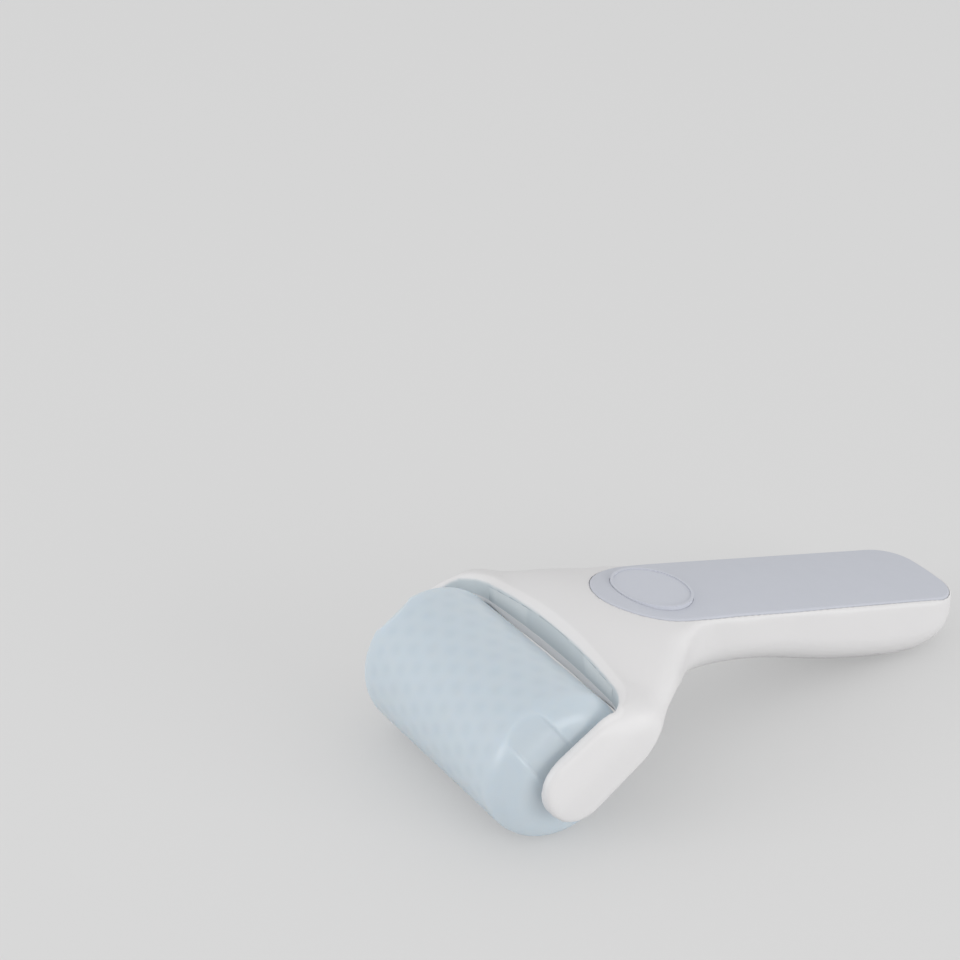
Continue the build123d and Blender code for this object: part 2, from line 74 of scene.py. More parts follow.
# Circles that an arm's outer face is drawn round, in mm: behind the axle, above it, and radius.
arm_circles = ((0.0, -0.5, 10.8), (15.3, 9.7, 10.2), (21.6, 12.9, 6.8))

# Middles of the spheres that fill an arm's root, in mm: behind the axle, out from the
# drum's middle, and above the axle.
gusset_spheres = ((21.3, 42.7, 5.9), (24.2, 42.7, 9.8), (29.4, 37.8, 11.1), (32.5, 36.0, 12.5))
gusset_radius = 5 * mm

# Lines that the joins of arm, bridge and neck are eased along. A line's ends are given in mm
# behind the axle, as a share of the yoke's half width, and in mm above the axle; its reach is
# in mm, and its last number is its share of the shoulder's smoothing passes.
easing_lines = (
    ((17, 1.0, 20), (33, 0.91, 17), 11, 1.0),
    ((36, 0.89, 14), (44, 0.69, 6), 7, 0.5),
    ((35, 0.88, 16), (47, 0.58, 19), 10, 1.0),
)

# The lead-in channel in each end of the drum: half its width, the width of its sloped walls,
# its depth, and how far it leans from upright.
channel_half = 7.0 * mm
channel_wall = 1.3 * mm
channel_depth = 0.5 * mm
channel_lean = math.radians(-35)

# Painted light, given as emission, for the light that comes through the drum: on the strip
# below the liner and on the drum's own ends.
no_glow = (0.0, 0.0, 0.0)
strip_painted_light = (0.15, 0.15, 0.152)
end_painted_light = (0.18, 0.204, 0.222)


# ---------------------------------------------------------------- settings
class RollerShellSettings(bpy.types.PropertyGroup):
    """Sizes and colour of the white handle shell."""

    colour: FloatVectorProperty(
        name="Shell colour", description="Colour of the white moulded plastic",
        subtype="COLOR", size=3, min=0, max=1, default=(0.675, 0.668, 0.672))
    # Painted shade: the window's walls are the white plastic darkened where the drum shades
    # them, with a painted blue cast of light from the drum.
    wall_shade_colour: FloatVectorProperty(
        name="Wall colour", description="Colour of the window's walls behind the drum",
        subtype="COLOR", size=3, min=0, max=1, default=(0.485, 0.525, 0.545))
    grid: FloatProperty(
        name="Skin grid", description="Spacing of the shell's mesh", unit="LENGTH",
        default=0.6 * mm)
    shoulder_easing: IntProperty(
        name="Shoulder easing", description="Smoothing passes where the arms join the bridge",
        default=240)
    rim_easing: IntProperty(
        name="Rim easing", description="Smoothing passes along the window's rim and the arms",
        default=4)
    edge_easing: IntProperty(
        name="Edge easing", description="Smoothing passes over the rest of the shell",
        default=3)
    rim_width: FloatProperty(
        name="Rim width", description="Width of the rolled band round the window",
        unit="LENGTH", default=3.0 * mm)
    rim_roll: FloatProperty(
        name="Rim roll", description="How far that band is rolled down at the rim",
        unit="LENGTH", default=0.95 * mm)
    arm_roll: FloatProperty(
        name="Arm roll", description="Width of the rolled edge round an arm's outer face",
        unit="LENGTH", default=1.9 * mm)
    arm_lean: FloatProperty(
        name="Arm lean", description="Share of an arm's thickness lost at its upper edge",
        default=0.42)
    window_wall: FloatProperty(
        name="Window wall", description="Distance of the window's rear wall behind the axle",
        unit="LENGTH", default=21.5 * mm)
    window_bow: FloatProperty(
        name="Window bow", description="How far the rear wall is bowed at its middle",
        unit="LENGTH", default=2.9 * mm)
    window_half: FloatProperty(
        name="Window half width", description="Half of the width between the arms",
        unit="LENGTH", default=41.7 * mm)
    window_corner: FloatProperty(
        name="Window corner", description="Radius of the window's rear corners",
        unit="LENGTH", default=10.4 * mm)
    liner_drop: FloatProperty(
        name="Liner drop", description="How far the liner's lower edge is let down",
        unit="LENGTH", default=1.8 * mm)
    drum_clearance: FloatProperty(
        name="Drum clearance", description="Space that the shell leaves round the drum",
        unit="LENGTH", default=0.8 * mm)
    joint_gap: FloatProperty(
        name="Joint gap", description="Gap between the shell and what is let into it",
        unit="LENGTH", default=0.16 * mm)


class RollerPanelSettings(bpy.types.PropertyGroup):
    """Colour and grain of the soft-touch grip panel."""

    colour: FloatVectorProperty(
        name="Panel colour", description="Colour of the soft-touch panel and badge",
        subtype="COLOR", size=3, min=0, max=1, default=(0.505, 0.523, 0.578))
    grain: FloatProperty(
        name="Grain", description="Size of the fine matt grain", unit="LENGTH",
        default=0.25 * mm)


class RollerDrumSettings(bpy.types.PropertyGroup):
    """Colours and relief of the ice-blue drum."""

    colour: FloatVectorProperty(
        name="Drum colour", description="Colour of the drum between its spots",
        subtype="COLOR", size=3, min=0, max=1, default=(0.535, 0.604, 0.655))
    spot_colour: FloatVectorProperty(
        name="Spot colour", description="Colour in the middle of a spot",
        subtype="COLOR", size=3, min=0, max=1, default=(0.512, 0.584, 0.638))
    spots_around: IntProperty(
        name="Spots around", description="Number of spots round the drum", default=20)
    row_spacing: FloatProperty(
        name="Row spacing", description="Distance between rows of spots along the axle",
        unit="LENGTH", default=5.95 * mm)
    spot_radius: FloatProperty(
        name="Spot radius", description="Radius of a spot's soft hollow", unit="LENGTH",
        default=3.5 * mm)
    spot_depth: FloatProperty(
        name="Spot depth", description="Depth of a spot's hollow", unit="LENGTH",
        default=0.10 * mm)


class RollerStageSettings(bpy.types.PropertyGroup):
    """Floor, lamps and camera."""

    floor_colour: FloatVectorProperty(
        name="Floor colour", description="Colour of the plain floor",
        subtype="COLOR", size=3, min=0, max=1, default=(0.69, 0.69, 0.69))
    daylight: FloatProperty(
        name="Daylight", description="Strength of the even light from all sides", default=0.83)
    camera_azimuth: FloatProperty(
        name="Camera azimuth", description="Direction that the camera looks in, from +Y",
        subtype="ANGLE", default=math.radians(-33.74))
    camera_elevation: FloatProperty(
        name="Camera elevation", description="Height of the camera above the horizon",
        subtype="ANGLE", default=math.radians(28.91))
    camera_roll: FloatProperty(
        name="Camera roll", description="Turn of the camera about its own line of sight",
        subtype="ANGLE", default=math.radians(1.88))
    lens: FloatProperty(
        name="Lens", description="Focal length in millimetres", default=97.68)


# ---------------------------------------------------------------- materials
class Signal:
    """A value inside a material, so that its maths reads as plain expressions."""

    def __init__(self, finish, socket):
        self.finish = finish
        self.socket = socket

    def maths(self, operation, *values):
        return self.finish.node("ShaderNodeMath", {"operation": operation},
                                dict(enumerate(values)))

    def __add__(self, other):
        return self.maths("ADD", self, other)

    __radd__ = __add__

    def __mul__(self, other):
        return self.maths("MULTIPLY", self, other)

    __rmul__ = __mul__


class Finish:
    """A material with one Principled shader, built up node by node."""

    def __init__(self, name, constants):
        self.material = bpy.data.materials.new(name)
        self.material.use_nodes = True
        self.tree = self.material.node_tree
        self.shader = self.tree.nodes["Principled BSDF"]
        for socket, value in constants.items():
            self.shader.inputs[socket].default_value = value

    def node(self, kind, settings=None, inputs=None, output=0):
        """Adds a node, sets it up, fills or links its sockets and returns one output."""
        made = self.tree.nodes.new(kind)
        for name, value in (settings or {}).items():
            setattr(made, name, value)
        for key, value in (inputs or {}).items():
            if isinstance(value, Signal):
                self.tree.links.new(value.socket, made.inputs[key])
            else:
                made.inputs[key].default_value = value
        return Signal(self, made.outputs[output])

    def feed(self, socket, signal):
        """Links a value to one of the shader's own sockets."""
        self.tree.links.new(signal.socket, self.shader.inputs[socket])

    def noise(self, size, detail=2.0):
        """Soft random pattern whose blobs are about one size across."""
        place = self.node("ShaderNodeTexCoord", output="Object")
        return self.node("ShaderNodeTexNoise", {}, {"Vector": place, "Scale": 1 / size,
                                                    "Detail": detail})

    def ramp(self, signal, low, high, start=0.0, end=1.0):
        """Maps a value from low..high to start..end, clamped."""
        return self.node("ShaderNodeMapRange", {"clamp": True},
                         {0: signal, 1: low, 2: high, 3: start, 4: end})

    def mix(self, share, first, second):
        """Colour between two colours."""
        first, second = (colour if isinstance(colour, Signal) else (*colour, 1)
                         for colour in (first, second))
        return self.node("ShaderNodeMix", {"data_type": "RGBA"},
                         {0: share, 6: first, 7: second}, output=2)

    def mottle(self, pattern, colour, spread):
        """Colour that a pattern makes a little darker or lighter."""
        return self.mix(pattern, shade(colour, 1 - spread), shade(colour, 1 + spread))

    def gloss(self, pattern, smoothest, roughest):
        """Feeds a roughness that follows a pattern to the shader."""
        self.feed("Roughness", self.ramp(pattern, 0.3, 0.7, smoothest, roughest))

    def layer(self, name):
        """A value painted on the mesh's vertices."""
        return self.node("ShaderNodeAttribute", {"attribute_name": name}, output="Fac")

    def bump(self, height, depth):
        """Feeds a fine surface relief, whose height runs from 0 to 1, to the shader."""
        relief = self.node("ShaderNodeBump", {}, {"Distance": depth, "Height": height})
        self.feed("Normal", relief)


def shade(colour, factor):
    """A colour made lighter or darker."""
    return tuple(channel * factor for channel in colour)


def white_plastic(colour, wall_shade_colour):
    """Smooth moulded white plastic, with a painted highlight on the band round the window, and
    painted shade and painted light on its walls and on the strip below its liner.
    """
    finish = Finish("white_plastic", {"IOR": 1.49, "Coat Roughness": 0.22, "Coat Weight": 0.05,
                                      "Emission Strength": 1.0})
    # Painted highlight: the band round the window is made lighter.
    rim_highlight_colour = shade(colour, 1.07)
    body = finish.mottle(finish.noise(26 * mm), colour, 0.015)
    with_rim_highlight = finish.mix(finish.layer("rim"), body, rim_highlight_colour)
    # Painted shade on the window's walls, and painted light given as emission on the walls and
    # on the strip below the liner.
    finish.feed("Base Color", finish.mix(finish.layer("wall"), with_rim_highlight, wall_shade_colour))
    wall_painted_light = finish.mix(finish.layer("wall"), no_glow, shade(wall_shade_colour, 0.18))
    finish.feed("Emission Color", finish.mix(finish.layer("strip"), wall_painted_light, strip_painted_light))
    finish.gloss(finish.noise(9 * mm), 0.46, 0.52)
    finish.bump(finish.noise(0.9 * mm), 0.004 * mm)
    return finish.material


def shaded_liner_plastic(colour):
    """White plastic in painted shade, with painted light given as emission for the light that
    comes through the drum in front of it.
    """
    finish = Finish("shaded_liner_plastic", {"IOR": 1.49, "Emission Strength": 1.0})
    cloud = finish.noise(12 * mm)
    # Painted shade: the colour passed in is the walls' shade colour.
    finish.feed("Base Color", finish.mottle(cloud, colour, 0.02))
    # Painted light, given as emission.
    finish.feed("Emission Color", finish.mix(cloud, shade(colour, 0.17), shade(colour, 0.19)))
    finish.gloss(cloud, 0.46, 0.52)
    finish.bump(finish.noise(0.9 * mm), 0.004 * mm)
    return finish.material


def soft_touch(name, colour, grain):
    """Matt soft-touch plastic with a very fine grain."""
    finish = Finish(name, {"IOR": 1.46, "Sheen Weight": 0.08, "Sheen Roughness": 0.5})
    finish.feed("Base Color", finish.mottle(finish.noise(14 * mm), colour, 0.015))
    finish.gloss(finish.noise(4 * mm), 0.52, 0.60)
    finish.bump(finish.noise(grain, 4.0), 0.012 * mm)
    return finish.material


def ice_plastic(colour, spot_colour):
    """Satin ice-blue plastic that lets some light in below its surface, with painted light given
    as emission over a darker base colour near the drum's ends.
    """
    finish = Finish("ice_plastic", {"IOR": 1.45, "Coat Roughness": 0.20, "Coat Weight": 0.3,
                                    "Subsurface Weight": 0.85, "Subsurface Scale": 8 * mm,
                                    "Subsurface Radius": (0.6, 0.8, 1.0),
                                    "Emission Strength": 1.0})
    cloud = finish.ramp(finish.noise(11 * mm), 0.3, 0.7, -0.08, 0.08)
    share = finish.ramp(finish.layer("spot") + cloud, 0.0, 1.0)
    barrel = finish.mix(share, colour, spot_colour)
    # Painted light near the drum's ends: a darker base colour with emission that lightens the
    # shade there.
    end_base_for_painted_light = shade(colour, 0.62)
    finish.feed("Base Color", finish.mix(finish.layer("end"), barrel, end_base_for_painted_light))
    finish.feed("Emission Color", finish.mix(finish.layer("end"), no_glow, end_painted_light))
    finish.gloss(finish.noise(6 * mm), 0.38, 0.46)
    finish.bump(finish.noise(0.7 * mm), 0.004 * mm)
    return finish.material


def plain_plastic(name, colour, roughness):
    """Plain moulded plastic for the small inner pieces."""
    finish = Finish(name, {"IOR": 1.48})
    cloud = finish.noise(3 * mm)
    finish.feed("Base Color", finish.mottle(cloud, colour, 0.04))
    finish.gloss(cloud, roughness - 0.04, roughness + 0.04)
    finish.bump(finish.noise(0.4 * mm), 0.006 * mm)
    return finish.material


def turned_steel():
    """Stainless steel with fine rings left by turning."""
    finish = Finish("turned_steel", {"Metallic": 1.0})
    streak = finish.noise(0.5 * mm, 4.0)
    finish.feed("Base Color", finish.mix(streak, (0.50, 0.50, 0.51), (0.62, 0.62, 0.63)))
    finish.gloss(streak, 0.24, 0.36)
    finish.bump(streak, 0.003 * mm)
    return finish.material


def dress(node, material):
    """Gives a CAD node one material."""
    mesh = nodes[node].data
    mesh.materials.clear()
    mesh.materials.append(material)


# ---------------------------------------------------------------- mesh helpers
def closed_copy(name):
    """Merged bmesh of a CAD node."""
    shape = bmesh.new()
    shape.from_mesh(nodes[name].data)
    bmesh.ops.remove_doubles(shape, verts=shape.verts, dist=0.001 * mm)
    return shape


def join(shape, other):
    """Moves what one bmesh holds into another."""
    spare = bpy.data.meshes.new("spare")
    other.to_mesh(spare)
    other.free()
    shape.from_mesh(spare)
    bpy.data.meshes.remove(spare)


def add_copy(shape, name, move=Vector(), grow=0.0):
    """Adds a CAD node's merged mesh to a bmesh, moved and grown along its normals."""
    piece = closed_copy(name)
    piece.normal_update()
    for vert in piece.verts:
        vert.co += vert.normal * grow + move
    join(shape, piece)


def loose_object(name, shape):
    """Plain object of a bmesh, which it uses up."""
    mesh = bpy.data.meshes.new(name)
    shape.to_mesh(mesh)
    shape.free()
    made = bpy.data.objects.new(name, mesh)
    bpy.context.scene.collection.objects.link(made)
    return made


def new_piece(name, shape, body, material, crease=40):
    """Makes a finished piece of a bmesh: smooth, riding on its body, with its finish."""
    piece = loose_object(name, shape)
    piece.data.materials.append(material)
    piece.data.shade_smooth()
    piece.data.set_sharp_from_angle(angle=math.radians(crease))
    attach(piece, body)
    return piece


def settle(piece):
    """Makes a piece's modifiers part of its mesh."""
    bpy.context.view_layer.update()
    graph = bpy.context.evaluated_depsgraph_get()
    mesh = bpy.data.meshes.new_from_object(piece.evaluated_get(graph))
    piece.modifiers.clear()
    old = piece.data
    piece.data = mesh
    bpy.data.meshes.remove(old)


def cut(piece, shape):
    """Cuts a bmesh out of an object."""
    cutter = loose_object("cutter", shape)
    boolean = piece.modifiers.new("cut", "BOOLEAN")
    boolean.operation = "DIFFERENCE"
    boolean.solver = "MANIFOLD"
    boolean.object = cutter
    before = len(piece.data.polygons)
    settle(piece)
    bpy.data.objects.remove(cutter)
    if len(piece.data.polygons) == before:
        raise RuntimeError(f"{piece.name} was not cut")


def lay_along_axle(shape, centre):
    """Turns an upright bmesh to run along the axle and moves it to its centre."""
    bmesh.ops.rotate(shape, verts=shape.verts, matrix=Matrix.Rotation(math.pi / 2, 3, "X"))
    bmesh.ops.translate(shape, verts=shape.verts, vec=centre)


# ---------------------------------------------------------------- pieces
def keep_outside(shape):
    """Removes every closed surface but the one that reaches the tail."""
    reached = {max(shape.verts, key=lambda vert: vert.co.x)}
    front = list(reached)
    while front:
        vert = front.pop()
        for edge in vert.link_edges:
            other = edge.other_vert(vert)
            if other not in reached:
                reached.add(other)
                front.append(other)
    inside = [vert for vert in shape.verts if vert not in reached]
    bmesh.ops.delete(shape, geom=inside, context="VERTS")


def voxel_skin(shape, grid):
    """One closed skin of even faces round everything in a bmesh."""
    block = loose_object("voxels", shape)
    remesh = block.modifiers.new("skin", "REMESH")
    remesh.mode = "VOXEL"
    remesh.voxel_size = grid
    settle(block)
    skin = bmesh.new()
    skin.from_mesh(block.data)
    bpy.data.objects.remove(block)
    keep_outside(skin)
    return skin


def soft_step(low, high, value):
    """Runs smoothly from 0 at the low value to 1 at the high one."""
    share = min(max((value - low) / (high - low), 0.0), 1.0)
    return share * share * (3 - 2 * share)


def ease(shape, verts, passes):
    """Smooths some of a bmesh's vertices a number of times."""
    for _ in range(passes):
        bmesh.ops.smooth_vert(shape, verts=verts, factor=0.5, use_axis_x=True, use_axis_y=True,
                              use_axis_z=True)


def ease_along(shape, start, end, reach, passes):
    """Blends the forms that meet along a line, most on the line itself."""
    run = end - start
    near = []
    for vert in shape.verts:
        share = min(max((vert.co - start).dot(run) / run.length_squared, 0), 1)
        distance = (vert.co - start - run * share).length
        if distance < reach:
            near.append((vert, distance))
    rounds, narrowing = 12, 0.65
    for turn in range(rounds):
        inner = reach * (1 - narrowing * turn / rounds)
        ease(shape, [vert for vert, distance in near if distance < inner], passes // rounds)


def add_block(shape, block):
    """Adds the convex hull of a loose bmesh's vertices to a bmesh."""
    bmesh.ops.remove_doubles(block, verts=block.verts, dist=0.01 * mm)
    bmesh.ops.delete(block, geom=block.edges, context="EDGES_FACES")
    hull = bmesh.ops.convex_hull(block, input=block.verts)
    spare = [item for item in hull["geom_interior"] if isinstance(item, bmesh.types.BMVert)]
    bmesh.ops.delete(block, geom=spare, context="VERTS")
    bmesh.ops.recalc_face_normals(block, faces=block.faces)
    join(shape, block)


def add_hull(shape, wanted):
    """Adds the hull round the yoke's vertices that a test picks out."""
    yoke = closed_copy("yoke_shell")
    block = bmesh.new()
    for vert in yoke.verts:
        if wanted(vert.co):
            block.verts.new(vert.co)
    yoke.free()
    add_block(shape, block)


def fill_window(shape, look):
    """Fills the space between the arms and the notch behind each arm's root."""
    back = axle.x + look.window_wall + 3 * mm
    bridge_low = axle.z + 8.4 * mm
    add_hull(shape, lambda place: place.x < back and place.z > bridge_low)
    arm_inner = yoke_half - 6 * mm
    root_bands = ((12 * mm, 26 * mm), (20 * mm, 33.5 * mm))
    for hand in (-1, 1):
        for start, end in root_bands:
            add_hull(shape, lambda place: start < place.x - axle.x < end
                     and hand * place.y > arm_inner)


def add_gusset(shape, hand):
    """Rounds out the hollow between an arm's root and the bridge."""
    block = bmesh.new()
    for behind, out, rise in gusset_spheres:
        middle = axle + Vector((behind, hand * out, rise)) * mm
        bmesh.ops.create_uvsphere(block, u_segments=32, v_segments=16, radius=gusset_radius,
                                  matrix=Matrix.Translation(middle))
    add_block(shape, block)


def add_arm_face(shape, hand, look):
    """Adds an arm's flat outer face, whose edges are rolled rather than rounded."""
    block = bmesh.new()
    rings, steps = 6, 72
    roll_depth = 0.6 * look.arm_roll
    for behind, rise, radius in arm_circles:
        for ring in range(rings + 1):
            turn = math.pi / 2 * ring / rings
            reach = radius * mm - look.arm_roll * (1 - math.cos(turn))
            out = yoke_half - roll_depth * (1 - math.sin(turn))
            for step in range(steps):
                angle = math.tau * step / steps
                block.verts.new((axle.x + behind * mm + reach * math.cos(angle), hand * out,
                                 axle.z + rise * mm + reach * math.sin(angle)))
    add_block(shape, block)


def window_wall_at(along, look):
    """Distance behind the axle of the window's rear wall, by distance from the middle."""
    corner_start = 0.79 * look.window_half
    bow = look.window_bow / look.window_half**2
    past = abs(along) - corner_start
    if past <= 0:
        return look.window_wall - bow * along**2
    wall = look.window_wall - bow * corner_start * (corner_start + 2 * past)
    return wall - look.window_corner + math.sqrt(look.window_corner**2 - past**2)


def lean_arms(body, look):
    """Leans the outer faces of the arms inwards towards their upper edges."""
    slope = math.radians(33.7)
    along_arm = Vector((math.cos(slope), 0, math.sin(slope)))
    over_arm = Vector((-math.sin(slope), 0, math.cos(slope)))
    lean_start, lean_end = -2 * mm, 12 * mm
    root_start, root_end = 22 * mm, 42 * mm
    for vert in body.verts:
        outside = abs(vert.co.y) - look.window_half
        if outside <= 0:
            continue
        reach = (vert.co - axle).dot(along_arm)
        rise = (vert.co - axle).dot(over_arm)
        share = soft_step(lean_start, lean_end, rise) * (1 - soft_step(root_start, root_end,
                                                                       reach))
        vert.co.y -= math.copysign(outside * look.arm_lean * share, vert.co.y)


def rim_distance(place, look):
    """How far a point lies outside the window, seen from above."""
    along = min(abs(place.y), look.window_half)
    behind = place.x - axle.x - window_wall_at(along, look)
    aside = abs(place.y) - look.window_half
    if aside > 0 and behind > 0:
        return math.hypot(aside, behind)
    return max(aside, behind)


def roll_rim(body, look):
    """Rolls the top surface down towards the window's rim, and much less on the arms."""
    arm_share = 0.15
    arm_end, bridge_start = 8 * mm, 18 * mm
    body.normal_update()
    for vert in body.verts:
        share = 1 - max(rim_distance(vert.co, look), 0) / look.rim_width
        share *= arm_share + (1 - arm_share) * soft_step(arm_end, bridge_start,
                                                         vert.co.x - axle.x)
        if share > 0 and vert.normal.z > 0:
            vert.co -= vert.normal * look.rim_roll * share


def paint_shell(mesh, look):
    """Marks the painted highlight on the band round the window, the painted shade and painted
    light on its walls, and the painted light on the strip below its liner.
    """
    rim, wall, strip = (mesh.attributes.new(name, "FLOAT", "POINT")
                        for name in ("rim", "wall", "strip"))
    band_start = look.rim_width - 0.8 * mm
    strip_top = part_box("bridge_liner")[0].z - look.liner_drop
    strip_half = 0.9 * look.window_half
    for vert in mesh.vertices:
        distance = rim_distance(vert.co, look)
        facing_up = soft_step(0.1, 0.5, vert.normal.z)
        band = 1 - soft_step(band_start, look.rim_width, distance)
        # Painted highlight on the band round the window.
        rim.data[vert.index].value = facing_up * band
        inside = soft_step(-0.8 * mm, -0.1 * mm, -distance) * (vert.co.z > axle.z)
        under = 1 - soft_step(strip_top - 0.3 * mm, strip_top + 0.3 * mm, vert.co.z)
        middle = 1 - soft_step(strip_half, strip_half + 3 * mm, abs(vert.co.y))
        # Painted light on the strip below the liner.
        strip.data[vert.index].value = inside * under * middle
        # Painted shade and painted light on the window's walls.
        wall.data[vert.index].value = inside * (1 - under * middle) * (1 - facing_up)


def liner_shape(look):
    """The liner of the window's rear wall, with its lower edge let down."""
    shape = closed_copy("bridge_liner")
    low = min(vert.co.z for vert in shape.verts) + 0.5 * mm
    for vert in shape.verts:
        if vert.co.z < low:
            vert.co.z -= look.liner_drop
    return shape


def liner_cutter(look):
    """The liner's seat, with a gap that shows at the liner's two ends."""
    shape = liner_shape(look)
    shape.normal_update()
    for vert in shape.verts:
        vert.co += vert.normal * 0.03 * mm
        vert.co.y += math.copysign(look.joint_gap, vert.co.y)
    return shape


def seat_cutter(name, look):
    """The seat of a CAD node that is let into the shell, with its joint's gap."""
    shape = bmesh.new()
    add_copy(shape, name, grow=look.joint_gap)
    return shape


def window_cutter(look):
    """The space between the arms, with its bowed rear wall and rounded rear corners."""
    shape = bmesh.new()
    length = 60 * mm
    bmesh.ops.create_grid(shape, x_segments=1, y_segments=96, size=1)
    for vert in shape.verts:
        along = vert.co.y * look.window_half
        wall = window_wall_at(along, look)
        vert.co = (axle.x + (wall if vert.co.x > 0 else -length), along, axle.z - length)
    made = bmesh.ops.extrude_face_region(shape, geom=shape.faces)
    moved = [item for item in made["geom"] if isinstance(item, bmesh.types.BMVert)]
    bmesh.ops.translate(shape, verts=moved, vec=(0, 0, 2 * length))
    bmesh.ops.recalc_face_normals(shape, faces=shape.faces)
    return shape


def drum_cutter(look):
    """The drum's outline with its clearance."""
    shape = bmesh.new()
    radius = drum_radius + look.drum_clearance
    half = drum_half + look.drum_clearance
    bmesh.ops.create_cone(shape, cap_ends=True, segments=128, radius1=radius, radius2=radius,
                          depth=2 * half)
    rims = [edge for edge in shape.edges
            if any(len(face.verts) != 4 for face in edge.link_faces)]
    bmesh.ops.bevel(shape, geom=rims, affect="EDGES", segments=10, profile=0.5, material=-1,
                    offset=drum_half - sleeve_half + look.drum_clearance)
    lay_along_axle(shape, axle)
    return shape


def filled_body(look):
    """One skin round the yoke and all that is let into it, with its window filled."""
    below_panel = Vector((0, 0, -0.75 * mm))
    filled = bmesh.new()
    add_copy(filled, "yoke_shell")
    fill_window(filled, look)
    for hand in (-1, 1):
        add_arm_face(filled, hand, look)
        add_gusset(filled, hand)
    for name in ("bridge_liner", "arm_cover_left", "arm_cover_right", "pivot_left",
                 "pivot_right"):
        add_copy(filled, name, grow=0.1 * mm)
    add_copy(filled, "grip_panel", move=below_panel, grow=0.4 * mm)
    return voxel_skin(filled, look.grid)


def ease_shoulders(body, look):
    """Blends the arms into the bridge and the bridge into the neck."""
    for hand in (-1, 1):
        for *ends, reach, share in easing_lines:
            start, end = (axle + Vector((behind * mm, hand * yoke_half * width, rise * mm))
                          for behind, width, rise in ends)
            ease_along(body, start, end, reach * mm, int(look.shoulder_easing * share))


def open_window(body, look):
    """Cuts the window and the drum's space out of the body and eases the window's rim."""
    block = loose_object("handle_body", body)
    cut(block, window_cutter(look))
    cut(block, drum_cutter(look))
    opened = bmesh.new()
    opened.from_mesh(block.data)
    bpy.data.objects.remove(block)
    opened = voxel_skin(opened, look.grid)
    rim_end = axle.x + look.window_wall + 8 * mm
    lip_top = axle.z + 14 * mm
    arm_start = look.window_half - 1 * mm
    rim = [vert for vert in opened.verts if vert.co.x < rim_end
           and (vert.co.z > lip_top or abs(vert.co.y) > arm_start)]
    ease(opened, rim, look.rim_easing)
    return opened


class ROLLER_OT_shell(bpy.types.Operator):
    """Skin the handle shell in one flowing surface and let the panel, liner and covers in"""

    bl_idname = "roller.shell"
    bl_label = "Handle Shell"

    def execute(self, context):
        look = context.scene.roller_shell
        body = filled_body(look)
        ease(body, body.verts, look.edge_easing)
        ease_shoulders(body, look)
        lean_arms(body, look)
        roll_rim(body, look)
        shell = new_piece("handle_shell", open_window(body, look), "handle",
                          white_plastic(look.colour, look.wall_shade_colour))
        cut(shell, seat_cutter("grip_panel", look))
        cut(shell, liner_cutter(look))
        for side in ("left", "right"):
            cut(shell, seat_cutter(f"arm_cover_{side}", look))
        shell.data.set_sharp_from_angle(angle=math.radians(40))
        paint_shell(shell.data, look)
        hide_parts("yoke_shell")
        return {"FINISHED"}


class ROLLER_OT_inlays(bpy.types.Operator):
    """Finish the grip panel, its badge, the bridge liner and the arm covers"""

    bl_idname = "roller.inlays"
    bl_label = "Panel, Badge and Liner"

    def execute(self, context):
        look = context.scene.roller_panel
        badge_colour = shade(look.colour, 1.04)
        dress("grip_panel", soft_touch("soft_touch_panel", look.colour, look.grain))
        dress("badge", soft_touch("soft_touch_badge", badge_colour, look.grain))
        for side in ("left", "right"):
            dress(f"arm_cover_{side}", bpy.data.materials["white_plastic"])
        shell_look = context.scene.roller_shell
        # The liner takes the walls' painted shade and painted light.
        liner = new_piece("liner_skin", liner_shape(shell_look), "handle",
                          shaded_liner_plastic(shell_look.wall_shade_colour))
        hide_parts("bridge_liner")
        return {"FINISHED"}


def spot_depth_at(place, look):
    """How deep in a spot a point of the drum's surface lies, from 0 to 1."""
    if abs(place.y) > sleeve_half:
        return 0.0
    around = math.atan2(place.z - axle.z, place.x - axle.x) / math.tau * look.spots_around
    row = round(place.y / look.row_spacing)
    around += 0.5 * (row % 2)
    across = (around - round(around)) * math.tau * drum_radius / look.spots_around
    along = place.y - row * look.row_spacing
    reach = math.hypot(across, along) / look.spot_radius
    fade_width = 2.5 * mm
    fade = min(1.0, (sleeve_half - abs(place.y)) / fade_width)
    return fade * (0.5 + 0.5 * math.cos(math.pi * reach)) if reach < 1 else 0.0


def channel_floor(height):
    """Distance along the axle of the lead-in channel's floor, by height over the axle."""
    mouth, inner, sweep = 0.3 * mm, 14 * mm, 11.9 * mm
    if height <= inner:
        return drum_half - channel_depth
    start = Vector((drum_half - channel_depth, inner))
    end = Vector((sleeve_half + mouth, drum_radius))
    chord = end - start
    rise = math.sqrt(sweep**2 - (chord.length / 2) ** 2)
    centre = (start + end) / 2 + Vector((chord.y, -chord.x)).normalized() * -rise
    return centre.x + math.sqrt(max(sweep**2 - (height - centre.y) ** 2, 0))


def drum_profile():
    """Half of the drum's section as points along the axle and out from it, centre first."""
    rounding = drum_half - sleeve_half
    seat_radius = flange_radius + 0.1 * mm
    face_radius = drum_radius - rounding
    seat = drum_half - 0.7 * mm
    face_rings, arc_rings, barrel_rings = 8, 22, 54
    profile = [(seat, 0.0), (seat, seat_radius)]
    for ring in range(face_rings):
        share = ring / face_rings
        profile.append((drum_half, seat_radius + (face_radius - seat_radius) * share))
    for ring in range(arc_rings):
        turn = math.pi / 2 * (1 - ring / arc_rings)
        profile.append((sleeve_half + rounding * math.sin(turn),
                        face_radius + rounding * math.cos(turn)))
    for ring in range(barrel_rings):
        profile.append((sleeve_half * (1 - ring / barrel_rings), drum_radius))
    return profile


